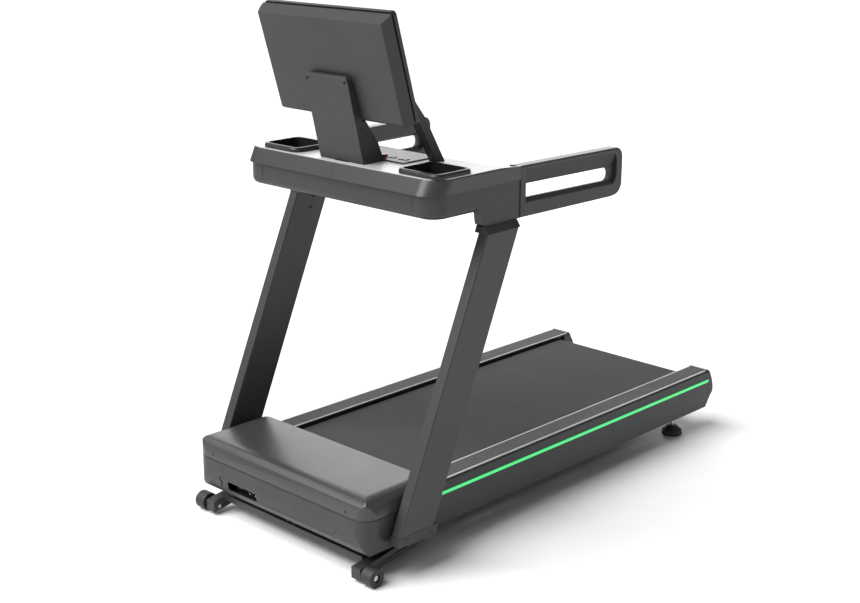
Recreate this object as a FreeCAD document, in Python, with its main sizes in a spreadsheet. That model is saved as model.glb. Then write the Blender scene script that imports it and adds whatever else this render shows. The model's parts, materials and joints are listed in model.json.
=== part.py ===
import FreeCAD, Part
import os
import re
import Sketcher
from FreeCAD import Vector, Rotation

# Folding-free commercial treadmill.  Frame: +Z up, +Y forward (towards the
# motor hood), +X to the runner's right, origin on the floor under the middle
# of the machine.  Millimetres.

doc = FreeCAD.newDocument("Treadmill")
sheet = doc.addObject("Spreadsheet::Sheet", "Sizes")

SIZES = [
    # side rails
    ("rail_inner", 310, "inner edge of a side rail, from the middle"),
    ("rail_outer", 390, "outer top edge of a side rail"),
    ("rail_bulge", 397, "widest part of the side cover"),
    ("rail_top", 242, "height of the standing surface"),
    ("rail_low", 89, "lower edge of the side cover"),
    ("rail_rear", -925, "rear end of the side cover"),
    ("rail_front", 700, "front end of the side cover, inside the hood"),
    ("cover_wall", 3, "wall of the side cover"),
    ("trim_width", 6, "width of a rail edge trim"),
    ("mat_thick", 3, "anti-slip mat thickness"),
    ("led_height", 199, "middle height of the light strip"),
    ("led_tall", 11, "height of the light strip"),
    ("cap_rear", -958, "rearmost point of an end cap"),
    # frame
    ("tube_inner", 318, "inner face of a frame tube"),
    ("tube_outer", 342, "outer face of a frame tube"),
    ("tube_low", 100, "underside of a frame tube"),
    ("tube_high", 200, "top of a frame tube"),
    ("tube_front", 745, "front end of a frame tube"),
    ("tube_wall", 3, "wall of a frame tube"),
    ("cross_low", 155, "underside of a cross member"),
    ("cross_high", 190, "top of a cross member"),
    ("cross_wide", 40, "width of a cross member"),
    ("cross_pitch", 385, "spacing of the cross members"),
    ("cross_first", -600, "rearmost cross member"),
    ("beam_rear", 745, "rear face of the front beam"),
    ("beam_front", 785, "front face of the front beam"),
    ("beam_low", 104, "underside of the front beam"),
    ("beam_high", 142, "top of the front beam"),
    ("tray_thick", 4, "motor tray thickness"),
    ("tray_front", 925, "front edge of the motor tray"),
    # running surface
    ("belt_half", 300, "half the running belt's width"),
    ("belt_top", 229, "top of the running belt"),
    ("belt_thick", 2.6, "running belt thickness"),
    ("roller_radius", 38, "roller radius"),
    ("roller_gap", 0.5, "gap between a roller and the belt"),
    ("roller_half", 301, "half the roller's length"),
    ("roller_front", 700, "front roller axis"),
    ("roller_rear", -850, "rear roller axis"),
    ("shaft_radius", 10, "roller shaft radius"),
    ("running_gap", 0.3, "radial gap of a turning piece"),
    ("deck_half", 304, "half the deck board's width"),
    ("deck_top", 226, "top of the deck board"),
    ("deck_thick", 22, "deck board thickness"),
    ("deck_rear", -800, "rear edge of the deck board"),
    ("deck_front", 640, "front edge of the deck board"),
    ("cushion_radius", 20, "deck cushion radius"),
    ("cushion_side", 240, "deck cushion, from the middle"),
    # hood
    ("hood_half", 421, "half the hood's width"),
    ("hood_front", 956, "front of the hood"),
    ("hood_rear", 672, "rear edge of the hood's top"),
    ("hood_top", 283, "top of the hood"),
    ("hood_split", 216, "joint between the hood's two shells"),
    ("hood_low", 97, "lower edge of the hood"),
    ("hood_crease", 51, "width of the hood's sloping top border"),
    ("hood_corner", 55, "rounding of the hood's upright corners"),
    ("hood_wall", 3, "hood wall"),
    # drive
    ("motor_y", 850, "motor axis, forward"),
    ("motor_z", 165, "motor axis, height"),
    ("motor_radius", 50, "motor casing radius"),
    ("pulley_small", 22, "motor pulley radius"),
    ("pulley_large", 38, "roller pulley radius"),
    ("pulley_in", 303, "inner face of the pulleys"),
    ("pulley_out", 316, "outer face of the pulleys"),
    # uprights
    ("post_inner", 427.1, "inner face of an upright"),
    ("post_outer", 467.2, "outer face of an upright"),
    ("post_foot_z", 150, "lower end of the upright tube"),
    ("post_foot_y", 855, "front edge of the tube at its lower end"),
    ("post_head_z", 1046, "upper end of the upright tube"),
    ("post_head_y", 467, "front edge of the tube at its upper end"),
    ("post_deep", 150.8, "level depth of the tube"),
    ("post_wall", 3, "wall of the upright tube"),
    # console
    ("console_half", 447, "half the console's width"),
    ("console_front", 672, "front of the console's top face"),
    ("console_belly", 696, "foremost point of the upper band"),
    ("console_rear", 372, "rear edge of the console's middle"),
    ("console_top", 1241, "top face of the console"),
    ("console_split", 1192, "lower edge of the upper band"),
    ("console_low", 1116, "underside of the console"),
    ("base_round", 20, "rounding of the console's underside"),
    ("console_corner", 70, "front corner rounding"),
    ("console_wall", 4, "console wall"),
    ("arm_inner", 409, "inner face of a handrail arm"),
    ("arm_front", 290, "joint between console and handrail arm"),
    ("arm_rear", -208, "rear end of a handrail arm"),
    ("arm_high", 1235, "top of a handrail arm"),
    ("arm_low", 1067, "underside of a handrail arm"),
    ("arm_web", 428, "middle of the thin wall round the grip slot"),
    ("arm_splay", 3, "outward lean of a handrail arm, degrees"),
    ("arm_round", 6, "rounding of an arm's outer edges"),
    ("slot_rear", -147, "rear end of the grip slot"),
    ("slot_front", 262, "front end of the grip slot"),
    ("slot_low", 1127, "lower edge of the grip slot"),
    ("slot_high", 1172, "upper edge of the grip slot"),
    ("cup_left", 346, "left cup holder centre, from the middle"),
    ("cup_right", 291, "right cup holder centre, from the middle"),
    ("cup_y", 577, "cup holder centre, forward"),
    ("cup_half_x", 92, "half the cup holder rim, across"),
    ("cup_half_y", 84, "half the cup holder rim, forward"),
    ("cup_rim", 1256, "top of the cup holder rim"),
    ("cup_floor", 1194, "underside of the cup holder"),
    ("panel_half", 180, "half the key panel's width"),
    ("panel_rear", 392, "rear edge of the key panel"),
    ("panel_front", 548, "front edge of the key panel"),
    ("panel_thick", 4, "key panel thickness"),
    ("key_pitch", 56, "spacing of the keys"),
    ("key_wide", 34, "key width"),
    ("key_deep", 18, "key depth"),
    ("key_y", 505, "middle of the key row"),
    ("key_gap", 0.5, "gap round a key"),
    ("stop_x", -72, "emergency stop, from the middle"),
    ("stop_y", 531, "emergency stop, forward"),
    ("stop_radius", 15, "emergency stop radius"),
    # mast and display
    ("mast_half", 100, "half the mast's width"),
    ("mast_foot_y", 644, "front face of the mast at the console"),
    ("mast_head_y", 709, "front face of the mast at its top"),
    ("mast_head_z", 1519, "top of the mast"),
    ("screen_lean", 16.2, "forward lean of the display, degrees"),
    ("screen_y", 649, "lower back edge of the display, forward"),
    ("screen_z", 1387, "lower back edge of the display, height"),
    ("screen_back", 281, "half the back face's width"),
    ("screen_half", 293, "half the display's width"),
    ("screen_low", -14, "lower edge of the display, along its back"),
    ("screen_high", 343, "upper edge of the display, along its back"),
    ("screen_deep", 60, "display thickness"),
    ("glass_half", 266, "half the glass width"),
    # grip bar
    ("grip_in", 199, "inner face of a grip bar leg"),
    ("grip_out", 235, "outer face of a grip bar leg"),
    ("bar_y", 561, "middle of the grip bar, forward"),
    ("bar_z", 1440, "middle of the grip bar, height"),
    ("bar_radius", 13, "grip bar radius"),
    # lift frame
    ("lift_in", 345, "inner face of a lift arm"),
    ("lift_out", 385, "outer face of a lift arm"),
    ("lift_y", 636, "lift pivot, forward"),
    ("lift_z", 78, "lift pivot, height"),
    ("lift_half", 20, "half the lift arm's height at the pivot"),
    ("lift_front", 945, "front end of the lift arm"),
    ("lift_top", 51, "top of the lift arm at its front end"),
    ("lift_low", 12, "underside of the lift arm at its front end"),
    ("wheel_radius", 30.9, "transport wheel radius"),
    ("wheel_y", 927.1, "wheel axis, forward"),
    ("wheel_in", 394.3, "inner face of a wheel"),
    ("wheel_out", 438.3, "outer face of a wheel"),
    ("axle_radius", 6, "wheel axle radius"),
    ("eye_y", 886, "lower actuator pin, forward"),
    ("cross_tube_low", 44, "underside of the lift frame's cross tube"),
    ("eye_z", 87, "lower actuator pin, height"),
    ("head_y", 868, "upper actuator pin, forward"),
    ("head_z", 256, "upper actuator pin, height"),
    # feet
    ("foot_x", 333, "levelling foot, from the middle"),
    ("foot_y", -782.5, "levelling foot, forward"),
    ("foot_radius", 39, "levelling foot pad radius"),
    ("stem_radius", 5.5, "levelling foot's thread radius"),
    ("foot_ball_z", 34, "height of the foot's ball joint"),
]

for row, (alias, value, meaning) in enumerate(SIZES, start=1):
    sheet.set("A%d" % row, alias)
    sheet.set("B%d" % row, str(value))
    sheet.setAlias("B%d" % row, alias)
    sheet.set("C%d" % row, meaning)
doc.recompute()

NAMES = set(alias for alias, value, meaning in SIZES)
PLANES = {"x": "YZ_Plane", "y": "XZ_Plane", "z": "XY_Plane"}
NODES = {}


def bound(text):
    """The expression with every size name pointed at the sheet."""
    def point(match):
        word = match.group(0)
        return "Sizes." + word if word in NAMES else word
    return re.sub(r"[a-z_]+", point, str(text))


def number(text):
    """The value of an expression of sizes, plain numbers, + - * / and brackets."""
    tokens = re.findall(r"[a-z_]+|\d+\.?\d*|[-+*/()]", str(text))

    def factor():
        token = tokens.pop(0)
        if token == "-":
            return -factor()
        if token == "(":
            value = total()
            tokens.pop(0)
            return value
        return float(sheet.get(token)) if token in NAMES else float(token)

    def product():
        value = factor()
        while tokens and tokens[0] in "*/":
            value = value * factor() if tokens.pop(0) == "*" else value / factor()
        return value

    def total():
        value = product()
        while tokens and tokens[0] in "+-":
            value = value + product() if tokens.pop(0) == "+" else value - product()
        return value

    return total()


def bind(obj, **expressions):
    for path, text in expressions.items():
        obj.setExpression(path.replace("__", "."), bound(text))
    return obj


def box(name, x0, x1, y0, y1, z0, z1):
    solid = doc.addObject("Part::Box", name)
    bind(solid, Length="(%s)-(%s)" % (x1, x0), Width="(%s)-(%s)" % (y1, y0),
         Height="(%s)-(%s)" % (z1, z0), Placement__Base__x=x0,
         Placement__Base__y=y0, Placement__Base__z=z0)
    return solid


TURNS = {"x": Rotation(Vector(0, 1, 0), 90), "y": Rotation(Vector(1, 0, 0), -90),
         "z": Rotation()}


def rod(name, axis, radius, start, end, centre):
    """A cylinder along an axis, centre being the other two coordinates."""
    solid = doc.addObject("Part::Cylinder", name)
    solid.Placement = FreeCAD.Placement(Vector(), TURNS[axis])
    first, second = centre
    where = {"x": (start, first, second), "y": (first, start, second),
             "z": (first, second, start)}[axis]
    bind(solid, Radius=radius, Height="(%s)-(%s)" % (end, start),
         Placement__Base__x=where[0], Placement__Base__y=where[1],
         Placement__Base__z=where[2])
    return solid


def prism(name, axis, points, start, end, rounds=()):
    """A body: a closed outline padded along an axis, then rounded edges."""
    body = doc.addObject("PartDesign::Body", name)
    role = PLANES[axis]
    plane = [f for f in body.Origin.OriginFeatures if f.Role == role][0]
    outline = body.newObject("Sketcher::SketchObject", name + "Outline")
    outline.AttachmentSupport = (plane, [""])
    outline.MapMode = "FlatFace"
    offset = "-(%s)" % end if axis == "y" else start
    bind(outline, AttachmentOffset__Base__z=offset)
    corners = [Vector(number(u), number(v), 0) for u, v in points]
    count = len(corners)
    for k in range(count):
        outline.addGeometry(Part.LineSegment(corners[k], corners[(k + 1) % count]), False)
    for k in range(count):
        outline.addConstraint(
            Sketcher.Constraint("Coincident", k, 2, (k + 1) % count, 1))
    for k, pair in enumerate(points):
        for kind, text, value in zip(("DistanceX", "DistanceY"), pair, corners[k]):
            index = outline.addConstraint(
                Sketcher.Constraint(kind, -1, 1, k, 1, value))
            outline.setExpression("Constraints[%d]" % index, bound(text))
    pad = body.newObject("PartDesign::Pad", name + "Pad")
    pad.Profile = outline
    bind(pad, Length="(%s)-(%s)" % (end, start))
    outline.Visibility = False
    doc.recompute()
    last = pad
    for k, (radius, test) in enumerate(rounds):
        chosen = ["Edge%d" % (i + 1) for i, edge in enumerate(last.Shape.Edges) if test(edge)]
        if not chosen:
            raise RuntimeError("no edge to round on " + name)
        fillet = body.newObject("PartDesign::Fillet", name + "Round%d" % k)
        fillet.Base = (last, chosen)
        bind(fillet, Radius=radius)
        doc.recompute()
        last = fillet
    return body


def spot(**where):
    """Test for edges whose every point lies at the given coordinates."""
    targets = {axis: number(text) for axis, text in where.items()}

    def test(edge):
        box_ = edge.BoundBox
        for axis, value in targets.items():
            low = getattr(box_, axis.upper() + "Min")
            high = getattr(box_, axis.upper() + "Max")
            if abs(low - value) > 0.01 or abs(high - value) > 0.01:
                return False
        return True
    return test


def any_of(*tests):
    return lambda edge: any(test(edge) for test in tests)


def join(name, parts):
    fused = doc.addObject("Part::MultiFuse", name)
    fused.Shapes = parts
    fused.Refine = True
    return fused


def group(name, parts):
    held = doc.addObject("Part::Compound", name)
    held.Links = parts
    return held


def cut(name, base, tools):
    taken = doc.addObject("Part::Cut", name)
    taken.Base = base
    taken.Tool = tools[0] if len(tools) == 1 else join(name + "Tools", tools)
    taken.Refine = True
    return taken


def common(name, parts):
    shared = doc.addObject("Part::MultiCommon", name)
    shared.Shapes = parts
    shared.Refine = True
    return shared


def mirror(name, source):
    other = doc.addObject("Part::Mirroring", name)
    other.Source = source
    other.Normal = Vector(1, 0, 0)
    other.Base = Vector(0, 0, 0)
    return other


def node(name, obj):
    obj.Label = name
    NODES[name] = obj
    return obj


def pair(name, make):
    """A left (-X) piece made by the function, and its right-hand mirror."""
    left = node(name + "_l", make(name + "Left"))
    node(name + "_r", mirror(name + "Right", left))


def both(name, make):
    """The same, as one node of two pieces."""
    left = make(name + "Left")
    node(name, group(name + "Pair", [left, mirror(name + "Right", left)]))


# ---------------------------------------------------------------- rails
COVER = [  # outer outline of the left side cover seen from behind: (x, z)
    ("-rail_inner", "rail_top-10"), ("-rail_inner", "rail_top-mat_thick"),
    ("-rail_outer", "rail_top-mat_thick"), ("-rail_outer-5", "rail_top-8"),
    ("-rail_bulge+2", "rail_top-24"), ("-rail_bulge", "led_height+4"),
    ("-rail_bulge", "led_height-46"), ("-rail_bulge+3", "led_height-76"),
    ("-rail_bulge+6", "led_height-96"), ("-rail_outer-1", "rail_low"),
]
COVER_INSIDE = [
    ("-rail_outer+2", "rail_low"), ("-rail_bulge+9", "led_height-94"),
    ("-rail_bulge+6", "led_height-75"), ("-rail_bulge+3", "led_height-45"),
    ("-rail_bulge+3", "led_height+4"), ("-rail_bulge+5", "rail_top-25"),
    ("-rail_outer-2", "rail_top-10"),
]


def side_cover(name):
    solid = prism(name + "Shell", "y", COVER + COVER_INSIDE, "rail_rear", "rail_front")
    groove = box(name + "Groove", "-rail_bulge-1", "-rail_bulge+1.5",
                 "rail_rear-1", "rail_front+1",
                 "led_height-led_tall*0.5", "led_height+led_tall*0.5")
    return cut(name, solid, [groove])


both("side_covers", side_cover)


def led_strip(name):
    return box(name, "-rail_bulge-0.6", "-rail_bulge+1.5", "rail_rear", "rail_front-80",
               "led_height-led_tall*0.5", "led_height+led_tall*0.5")


both("led_strips", led_strip)


def rail_mat(name):
    return box(name, "-rail_outer+trim_width", "-rail_inner-trim_width",
               "rail_rear+13", "rail_front-4", "rail_top-mat_thick", "rail_top")


both("rail_mats", rail_mat)


def rail_trims(name):
    strips = []
    for k, (low, high) in enumerate((("-rail_outer", "-rail_outer+trim_width"),
                                     ("-rail_inner-trim_width", "-rail_inner"))):
        strips.append(prism(
            name + "Strip%d" % k, "y",
            [(low, "rail_top-mat_thick"), (high, "rail_top-mat_thick"),
             (high, "rail_top+0.6"), (low, "rail_top+0.6")],
            "rail_rear+13", "rail_front-4"))
    return group(name, strips)


both("rail_trims", rail_trims)


def end_cap(name):
    side = prism(name + "Side", "x", [
        ("rail_rear+13", "rail_top-mat_thick"), ("rail_rear+13", "rail_top+1"),
        ("rail_rear-2", "rail_top+1"), ("cap_rear+21", "rail_top-8"),
        ("cap_rear+8", "led_height"), ("cap_rear+1", "led_height-24"),
        ("cap_rear", "led_height-38"), ("cap_rear+3", "led_height-54"),
        ("cap_rear+14", "rail_low+44"), ("rail_rear-6", "rail_low+14"),
        ("rail_rear", "rail_low+6"), ("rail_rear", "rail_top-mat_thick")],
        "-rail_bulge", "-rail_inner")
    across = prism(name + "Across", "y", [
        ("-rail_inner", "rail_low"), ("-rail_inner", "rail_top+1"),
        ("-rail_outer", "rail_top+1"), ("-rail_outer-5", "rail_top-7"),
        ("-rail_bulge+2", "rail_top-24"), ("-rail_bulge", "led_height+4"),
        ("-rail_bulge", "led_height-46"), ("-rail_bulge+3", "led_height-76"),
        ("-rail_bulge+6", "led_height-96"), ("-rail_outer-1", "rail_low")],
        "cap_rear-1", "rail_rear+14")
    plate = common(name + "Plate", [side, across])
    guard = rod(name + "Guard", "x", 54, "-rail_inner", "-roller_half-2",
                ("roller_rear-46", "led_height-16"))
    trim = box(name + "GuardFloor", "-rail_inner-2", "-roller_half-1",
               "roller_rear-110", "roller_rear+20", "rail_low+20", "led_height-50")
    behind = box(name + "GuardFront", "-rail_inner-2", "-roller_half-1",
                 "roller_rear-40", "roller_rear+20", "rail_low+20", "rail_top+10")
    wing = cut(name + "Wing", guard, [trim, behind])
    return join(name, [plate, wing])


both("end_caps", end_cap)

# ---------------------------------------------------------------- frame
CROSS_YS = ["cross_first+cross_pitch*%d" % k for k in range(4)]


def main_frame(name):
    outer = box(name + "Outer", "-tube_outer", "-tube_inner", "rail_rear", "tube_front",
                "tube_low", "tube_high")
    hollow = box(name + "Hollow", "-tube_outer+tube_wall", "-tube_inner-tube_wall",
                 "rail_rear-1", "tube_front+1", "tube_low+tube_wall", "tube_high-tube_wall")
    shafts = [rod(name + "Shaft%d" % k, "x", "shaft_radius", "-tube_outer-1", "-tube_inner+1",
                  (where, "belt_top-belt_thick-roller_gap-roller_radius"))
              for k, where in enumerate(("roller_front", "roller_rear"))]
    stem = rod(name + "Stem", "z", "stem_radius", "tube_low-1", "tube_low+tube_wall+1",
               ("-foot_x", "foot_y"))
    blocks = [box(name + "Block%d" % k, "-tube_outer", "-tube_inner", y + "-20", y + "+20",
                  "tube_high", "rail_top-10") for k, y in enumerate(CROSS_YS)]
    plate = box(name + "PivotPlate", "-tube_outer", "-tube_inner", "lift_y-26", "lift_y+26",
                "lift_z-20", "tube_low")
    bolt = rod(name + "PivotBolt", "x", 8, "-lift_out-5", "-tube_inner", ("lift_y", "lift_z"))
    tube = cut(name + "Tube", outer, [hollow, stem] + shafts)
    return join(name, [tube, plate, bolt] + blocks)


both("main_frame", main_frame)

node("cross_members", group("CrossMembers", [
    box("CrossMember%d" % k, "-tube_inner", "tube_inner",
        y + "-cross_wide*0.5", y + "+cross_wide*0.5", "cross_low", "cross_high")
    for k, y in enumerate(CROSS_YS)]))


front_beam = box("FrontBeamTube", "-post_inner", "post_inner", "beam_rear", "beam_front",
                 "beam_low", "beam_high")
tray = box("TrayPlate", "-tube_outer+2", "tube_outer-2", "beam_front", "tray_front",
           "beam_low", "beam_low+tray_thick")
tray_hole = box("TrayHole", -72, 34, "beam_front+15", "eye_y+16",
                "beam_low-1", "beam_low+tray_thick+1")
lift_bracket = [
    box("LiftBracketPlate", -35, 35, "eye_y+17", "eye_y+23", "beam_low+tray_thick",
        "head_z+12"),
    box("LiftBracketEarL", -28, -22.5, "head_y-12", "eye_y+18", "head_z-12", "head_z+12"),
    box("LiftBracketEarR", 22.5, 28, "head_y-12", "eye_y+18", "head_z-12", "head_z+12"),
    rod("LiftBracketPin", "x", 5, -28, 28, ("head_y", "head_z"))]
node("front_frame", join("FrontFrame", [front_beam, cut("MotorTray", tray, [tray_hole])]
                         + lift_bracket))

# ---------------------------------------------------------------- deck and belt
node("deck_board", box("DeckBoard", "-deck_half", "deck_half", "deck_rear", "deck_front",
                       "deck_top-deck_thick", "deck_top"))
node("deck_cushions", group("DeckCushions", [
    rod("Cushion%d%s" % (k, side), "z", "cushion_radius", "cross_high",
        "deck_top-deck_thick", (sign + "cushion_side", y))
    for k, y in enumerate(CROSS_YS) for side, sign in (("L", "-"), ("R", ""))]))

ROLLER_Z = "belt_top-belt_thick-roller_gap-roller_radius"


def belt_loop(name, radius, half):
    ends = [rod(name + "End%d" % k, "x", radius, "-%s" % half, half, (y, ROLLER_Z))
            for k, y in enumerate(("roller_front", "roller_rear"))]
    middle = box(name + "Middle", "-%s" % half, half, "roller_rear", "roller_front",
                 "belt_top-belt_thick-roller_gap-roller_radius-(%s)" % radius,
                 "belt_top-belt_thick-roller_gap-roller_radius+(%s)" % radius)
    return join(name, ends + [middle])


node("running_belt", cut("RunningBelt",
     belt_loop("BeltOutside", "roller_radius+roller_gap+belt_thick", "belt_half"),
     [belt_loop("BeltInside", "roller_radius+roller_gap", "(belt_half+1)")]))


def roller(name, where, extra):
    tube = rod(name + "Tube", "x", "roller_radius", "-roller_half", "roller_half",
               (where, ROLLER_Z))
    solid = join(name + "Solid", [tube] + extra) if extra else tube
    bore = rod(name + "Bore", "x", "shaft_radius+running_gap", "-roller_half-1",
               "pulley_out+1", (where, ROLLER_Z))
    return cut(name, solid, [bore])


node("front_roller", roller("FrontRoller", "roller_front", [
    rod("RollerPulley", "x", "pulley_large", "pulley_in", "pulley_out",
        ("roller_front", ROLLER_Z)),
    rod("RollerNeck", "x", 24, "roller_half-1", "pulley_in+1", ("roller_front", ROLLER_Z))]))
node("rear_roller", roller("RearRoller", "roller_rear", []))
node("roller_shafts", group("RollerShafts", [
    rod("RollerShaft%d" % k, "x", "shaft_radius", "-tube_outer", "tube_outer", (y, ROLLER_Z))
    for k, y in enumerate(("roller_front", "roller_rear"))]))
node("tension_bolts", group("TensionBolts", [
    rod("TensionBolt%s" % side, "y", 5, "rail_rear+4", "roller_rear-shaft_radius-1",
        (sign + "tube_inner" + back, ROLLER_Z))
    for side, sign, back in (("L", "-", "-12"), ("R", "", "+12"))]))

# ---------------------------------------------------------------- hood


def hood_block(name, inset, low, high):
    """The hood's soft box, shrunk by the inset, between two heights."""
    half = "(hood_half-%s)" % inset
    left = "-" + half
    front = "hood_front-%s" % inset
    rear = "hood_rear+%s" % inset
    side = prism(name + "Block", "x", [
        (rear, "hood_low-1"), (front + "-26", "hood_low-1"),
        (front + "-8", "hood_low+25"), (front, "hood_low+70"),
        (front, "hood_split+20"), (front + "-8", "hood_top-22-" + inset),
        (front + "-24", "hood_top-7-" + inset),
        (front + "-hood_crease", "hood_top-" + inset), (rear, "hood_top-" + inset)],
        left, half)
    across = prism(name + "Across", "y", [
        (left + "+12", "hood_low-2"),
        (left, "hood_low+60"),
        (left, "hood_split+10"),
        (left + "+8", "hood_top-24-" + inset),
        (left + "+24", "hood_top-7-" + inset),
        (left + "+hood_crease", "hood_top-" + inset),
        (half + "-hood_crease", "hood_top-" + inset),
        (half + "-24", "hood_top-7-" + inset),
        (half + "-8", "hood_top-24-" + inset), (half, "hood_split+10"),
        (half, "hood_low+60"), (half + "-12", "hood_low-2")],
        "hood_rear-1", "hood_front+1")
    plan = prism(name + "Plan", "z", [
        (left, "hood_rear-1"), (half, "hood_rear-1"),
        (half, front), (left, front)],
        low, high,
        rounds=[("hood_corner-" + inset,
                 any_of(spot(x=half, y=front), spot(x=left, y=front)))])
    return common(name, [side, across, plan])


def hood_shell(name, low, high, inside_low, inside_high, tools):
    outer = hood_block(name + "Outer", "0", low, high)
    inner = hood_block(name + "Inner", "hood_wall", inside_low, inside_high)
    return cut(name, outer, [inner] + tools)


belt_mouth = box("BeltMouth", "-rail_inner-4", "rail_inner+4", "hood_rear-2", "hood_rear+70",
                 "hood_low-2", "belt_top+4")
rail_mouths = [box("RailMouth%s" % side, low, high, "hood_rear-2", "rail_front+2",
                   "hood_low-2", "rail_top+2.5")
               for side, low, high in (("L", "-rail_bulge-4", "-rail_inner+4"),
                                       ("R", "rail_inner-4", "rail_bulge+4"))]
hood_upper = hood_shell("HoodUpper", "hood_split+0.5", "hood_top+1", "hood_split-1",
                        "hood_top+1", [belt_mouth] + rail_mouths)
beam_hole = box("BeamHole", "-hood_half-1", "hood_half+1", "beam_rear-1", "beam_front+1",
                "hood_low-1", "beam_high+1")
inlet_hole = prism("InletHole", "y", [
    (112, "hood_low+26"), (260, "hood_low+26"), (260, "hood_low+57"), (112, "hood_low+57")],
    "hood_front-40", "hood_front+2",
    rounds=[(6, any_of(spot(x=112, z="hood_low+26"), spot(x=260, z="hood_low+26"),
                       spot(x=112, z="hood_low+57"), spot(x=260, z="hood_low+57")))])
lower_rear = box("LowerRear", "-hood_half-1", "hood_half+1", "hood_rear-2", "rail_front+4",
                 "hood_low-2", "hood_split+1")
node("hood_lower", hood_shell("HoodLower", "hood_low", "hood_split-0.5", "hood_low-2",
                              "hood_split+1", [inlet_hole, lower_rear, beam_hole]))
hood_screws = group("HoodScrews", [
    rod("HoodScrew%s" % side, "y", 4, "hood_front+0.02", "hood_front+1.2",
        (sign + "329", "hood_split+15"))
    for side, sign in (("L", "-"), ("R", ""))])
node("hood_upper", hood_upper)

# power inlet, behind the opening
panel = box("InletPlate", 104, 268, "hood_front-38", "hood_front-34",
            "hood_low+20", "hood_low+66")
socket = box("InletSocket", 122, 172, "hood_front-34", "hood_front-22",
             "hood_low+30", "hood_low+54")
socket_hole = box("InletSocketHole", 128, 166, "hood_front-35", "hood_front-20",
                  "hood_low+34", "hood_low+50")
rocker_hole = box("RockerHole", 214, 240, "hood_front-39", "hood_front-33",
                  "hood_low+30", "hood_low+54")
node("power_inlet", cut("PowerInlet", join("InletBody", [panel, socket]),
                        [socket_hole, rocker_hole]))
node("power_rocker", prism("PowerRocker", "x", [
    ("hood_front-44", "hood_low+34"), ("hood_front-33", "hood_low+32.5"),
    ("hood_front-30", "hood_low+33"), ("hood_front-33", "hood_low+42"),
    ("hood_front-32", "hood_low+51.5"), ("hood_front-34", "hood_low+51.5"),
    ("hood_front-44", "hood_low+50")], 214.6, 239.4))

# ---------------------------------------------------------------- drive
casing = rod("MotorCasing", "x", "motor_radius", 75, 280, ("motor_y", "motor_z"))
casing_bore = rod("MotorCasingBore", "x", "8+running_gap", 240, 281, ("motor_y", "motor_z"))
saddle = box("MotorSaddleBlock", 100, 250, "motor_y-42", "motor_y+42",
             "beam_low+tray_thick", "motor_z-28")
saddle_bed = rod("MotorSaddleBed", "x", "motor_radius", 90, 260, ("motor_y", "motor_z"))
motor_foot = cut("MotorFoot", saddle, [saddle_bed])
node("drive_motor", join("DriveMotor", [cut("MotorShell", casing, [casing_bore]), motor_foot]))
node("motor_rotor", join("MotorRotor", [
    rod("RotorShaft", "x", 8, 244, "pulley_out", ("motor_y", "motor_z")),
    rod("RotorFlywheel", "x", 45, 283, 299, ("motor_y", "motor_z")),
    rod("RotorPulley", "x", "pulley_small", "pulley_in", "pulley_out",
        ("motor_y", "motor_z"))]))


def drive_loop(name, grow):
    """A flat belt round both pulleys, as the hull of two discs."""
    span_y = number("motor_y-roller_front")
    span_z = number("motor_z-belt_top+belt_thick+roller_gap+roller_radius")
    apart = (span_y ** 2 + span_z ** 2) ** 0.5
    big = number("pulley_large") + grow
    small = number("pulley_small") + grow
    lean = (big - small) / apart
    across = (1 - lean ** 2) ** 0.5
    ahead = Vector(0, span_y / apart, span_z / apart)
    up = Vector(0, -span_z / apart, span_y / apart)
    start = Vector(0, number("roller_front"), number(ROLLER_Z))
    stop = Vector(0, number("motor_y"), number("motor_z"))
    corners = []
    for centre, radius, sign in ((start, big, 1), (stop, small, 1),
                                 (stop, small, -1), (start, big, -1)):
        corners.append(centre + (ahead * lean + up * (across * sign)) * radius)
    return corners


def drive_ring(name, grow, low, high):
    corners = drive_loop(name, grow)
    hull = Part.Face(Part.makePolygon(corners + [corners[0]]))
    hull.translate(Vector(number(low), 0, 0))
    body = hull.extrude(Vector(number(high) - number(low), 0, 0))
    return body


outer_ring = drive_ring("DriveOuter", 3.5, "pulley_in+1", "pulley_out-1")
inner_ring = drive_ring("DriveInner", 0.5, "pulley_in", "pulley_out")
for grow, ring in ((3.5, "outer"), (0.5, "inner")):
    for where, size in (("roller_front", "pulley_large"), ("motor_y", "pulley_small")):
        height = number(ROLLER_Z) if where == "roller_front" else number("motor_z")
        low = number("pulley_in") + (1 if ring == "outer" else 0)
        high = number("pulley_out") - (1 if ring == "outer" else 0)
        disc = Part.makeCylinder(number(size) + grow, high - low,
                                 Vector(low, number(where), height), Vector(1, 0, 0))
        if ring == "outer":
            outer_ring = outer_ring.fuse(disc)
        else:
            inner_ring = inner_ring.fuse(disc)
drive_belt = doc.addObject("Part::Feature", "DriveBelt")
drive_belt.Shape = outer_ring.cut(inner_ring)
node("drive_belt", drive_belt)

fins = [box("ControllerFin%d" % k, "-276+%d" % (14 * k), "-272+%d" % (14 * k),
            "motor_y-40", "motor_y+68", "beam_low+tray_thick+40", "beam_low+tray_thick+56")
        for k in range(13)]
node("motor_controller", join("MotorController", [
    box("ControllerBox", -280, -96, "motor_y-44", "motor_y+72",
        "beam_low+tray_thick", "beam_low+tray_thick+40")] + fins))

# ---------------------------------------------------------------- uprights


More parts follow.
